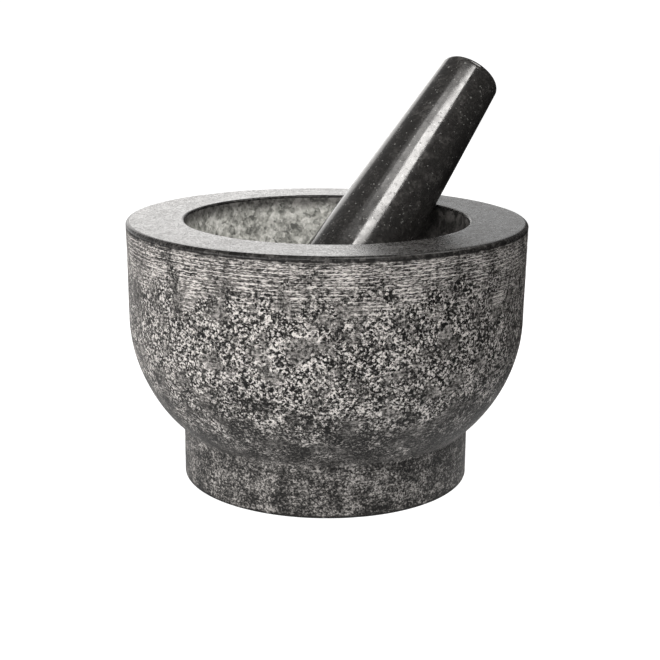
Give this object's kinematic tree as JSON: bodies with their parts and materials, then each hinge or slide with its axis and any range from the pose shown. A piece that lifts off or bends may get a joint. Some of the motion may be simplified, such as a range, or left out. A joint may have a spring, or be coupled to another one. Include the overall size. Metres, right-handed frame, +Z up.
{
  "type": "mortar and pestle",
  "caption": "Turned granite mortar with a deep round bowl on a short round foot, and a polished tapered granite pestle that leans in the bowl and lifts out.",
  "frame": {"origin": "on the mortar's axis, at the centre of the foot's underside", "axes": "+Z up along the mortar's axis; the pestle leans towards the side 43.4 degrees from +X towards +Y; the usual front view looks along +Y"},
  "size_m": [0.152, 0.152, 0.158],
  "materials": {
    "granite_mortar": "grey granite, unpolished and turned outside, honed on the rim, coarser in the bowl",
    "granite_pestle": "near-black polished granite with a rougher grinding end"
  },
  "bodies": {
    "mortar": {"mortar": "granite_mortar"},
    "pestle": {"pestle": "granite_pestle"}
  },
  "joints": [
    {"name": "pestle_lift", "type": "slide", "parent": "mortar", "child": "pestle", "axis": [0, 0, 1], "range_m": [0, 0.1]}
  ]
}
